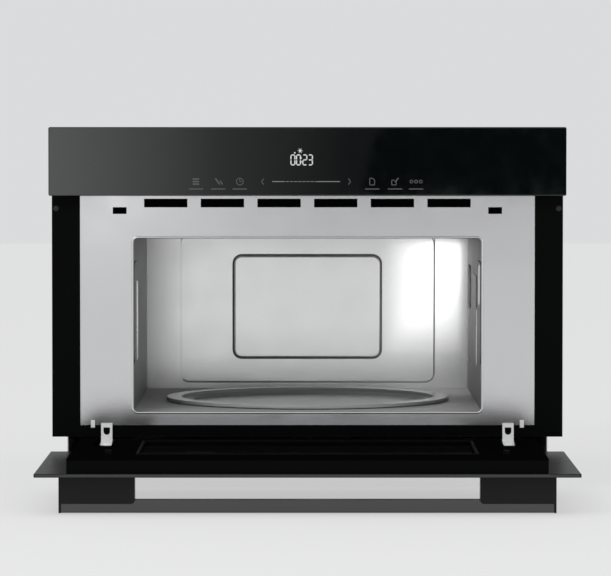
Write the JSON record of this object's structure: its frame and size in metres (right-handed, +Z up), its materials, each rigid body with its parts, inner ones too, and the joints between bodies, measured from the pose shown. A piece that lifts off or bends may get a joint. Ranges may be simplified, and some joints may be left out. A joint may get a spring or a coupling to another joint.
{
  "type": "built-in microwave oven",
  "caption": "Built-in microwave oven with a black glass touch panel above a drop-down glass door that stands open on a steel cavity with a glass turntable.",
  "frame": {"origin": "on the underside of the base plate, which rests on the shelf of the cabinet niche, midway across the oven and midway along the depth of its chassis", "axes": "+X to the right of someone facing the oven, +Y from the front into the cabinet, +Z up"},
  "size_m": [0.595, 0.8395, 0.42],
  "materials": {
    "black_glass": "gloss",
    "clear_glass": "gloss",
    "smoked_glass": "gloss",
    "flange_black": "satin",
    "front_steel": "satin",
    "cavity_steel": "satin",
    "casing_steel": "galvanised",
    "zinc": "zinc plated",
    "screw_steel": "satin",
    "handle_metal": "satin",
    "black_plastic": "matte",
    "black_gloss": "gloss",
    "white_plastic": "satin",
    "grey_plastic": "matte",
    "mica": "satin",
    "circuit_board": "satin",
    "iron_core": "varnished",
    "copper": "enamelled",
    "tinplate": "satin",
    "black_steel": "satin"
  },
  "bodies": {
    "chassis": {"base_plate": "casing_steel", "side_panel_left": "casing_steel", "side_panel_right": "casing_steel", "top_cover": "casing_steel", "rear_panel": "casing_steel", "case_screws": "screw_steel", "cord_gland": "black_plastic", "front_frame": "flange_black", "front_plate": "front_steel", "cavity_left_wall": "cavity_steel", "cavity_right_wall": "cavity_steel", "cavity_ceiling": "cavity_steel", "cavity_floor": "cavity_steel", "cavity_rear_wall": "cavity_steel", "turntable_motor": "zinc", "component_tray": "casing_steel", "waveguide": "casing_steel", "waveguide_cover": "mica", "magnetron": "tinplate", "transformer_core": "iron_core", "transformer_windings": "copper", "capacitor": "tinplate", "capacitor_clamp": "zinc", "diode": "black_plastic", "power_board": "circuit_board", "fan_shroud": "grey_plastic", "fan_motor": "iron_core", "lamp_lens": "clear_glass", "lamp_housing": "casing_steel", "lamp_bulb": "clear_glass", "interlock_housings": "grey_plastic", "interlock_switches": "black_plastic", "control_glass": "black_glass", "control_carrier": "black_plastic", "control_board": "circuit_board", "display_module": "black_plastic", "hinge_brackets": "zinc", "hinge_pins": "screw_steel", "door_buffers": "white_plastic"},
    "door": {"door_glass": "black_glass", "door_inner_frame": "black_steel", "door_screen": "black_steel", "door_window": "smoked_glass", "choke_cover": "black_gloss", "door_hinge_leaves": "zinc", "handle_bar": "handle_metal", "handle_posts": "black_plastic", "handle_screws": "screw_steel"},
    "latch_left": {"latch_hook_left": "black_plastic"},
    "latch_right": {"latch_hook_right": "black_plastic"},
    "turntable": {"glass_turntable": "clear_glass", "turntable_coupler": "white_plastic"},
    "roller_carrier": {"roller_ring": "white_plastic"},
    "roller_one": {"roller_1": "white_plastic"},
    "roller_two": {"roller_2": "white_plastic"},
    "roller_three": {"roller_3": "white_plastic"},
    "fan_rotor": {"fan_impeller": "black_plastic"},
    "plunger_left": {"switch_plunger_left": "white_plastic"},
    "plunger_right": {"switch_plunger_right": "white_plastic"}
  },
  "joints": [
    {"name": "door_hinge", "type": "hinge", "parent": "chassis", "child": "door", "pos_m": [0, -0.281, 0.0165], "axis": [-1, 0, 0], "range_deg": [0, 90]},
    {"name": "latch_left_pivot", "type": "hinge", "parent": "door", "child": "latch_left", "pos_m": [-0.2167, -0.5517, 0.0145], "axis": [-1, 0, 0], "range_deg": [0, 6], "stiffness_Nm_per_rad": 0.02},
    {"name": "latch_right_pivot", "type": "hinge", "parent": "door", "child": "latch_right", "pos_m": [0.2167, -0.5517, 0.0145], "axis": [-1, 0, 0], "range_deg": [0, 6], "stiffness_Nm_per_rad": 0.02},
    {"name": "turntable_spin", "type": "hinge", "parent": "chassis", "child": "turntable", "pos_m": [0, -0.054, 0.0407], "axis": [0, 0, 1], "continuous": true},
    {"name": "ring_roll", "type": "hinge", "parent": "chassis", "child": "roller_carrier", "pos_m": [0, -0.054, 0.0407], "axis": [0, 0, 1], "continuous": true},
    {"name": "roller_one_spin", "type": "hinge", "parent": "roller_carrier", "child": "roller_one", "pos_m": [0.118, -0.054, 0.0407], "axis": [1, 0, 0], "continuous": true},
    {"name": "roller_two_spin", "type": "hinge", "parent": "roller_carrier", "child": "roller_two", "pos_m": [-0.059, 0.04819, 0.0407], "axis": [-0.5, 0.866, 0], "continuous": true},
    {"name": "roller_three_spin", "type": "hinge", "parent": "roller_carrier", "child": "roller_three", "pos_m": [-0.059, -0.15619, 0.0407], "axis": [-0.5, -0.866, 0], "continuous": true},
    {"name": "fan_spin", "type": "hinge", "parent": "chassis", "child": "fan_rotor", "pos_m": [0.06, 0.245, 0.3147], "axis": [0, 1, 0], "continuous": true},
    {"name": "plunger_left_slide", "type": "slide", "parent": "chassis", "child": "plunger_left", "axis": [0, 1, 0], "range_m": [0, 0.002], "stiffness_N_per_m": 300},
    {"name": "plunger_right_slide", "type": "slide", "parent": "chassis", "child": "plunger_right", "axis": [0, 1, 0], "range_m": [0, 0.002], "stiffness_N_per_m": 300}
  ],
  "couplings": [
    {"joint": "ring_roll", "follows": "turntable_spin", "ratio": 0.5},
    {"joint": "roller_one_spin", "follows": "turntable_spin", "ratio": -8.806},
    {"joint": "roller_two_spin", "follows": "turntable_spin", "ratio": -8.806},
    {"joint": "roller_three_spin", "follows": "turntable_spin", "ratio": -8.806}
  ]
}
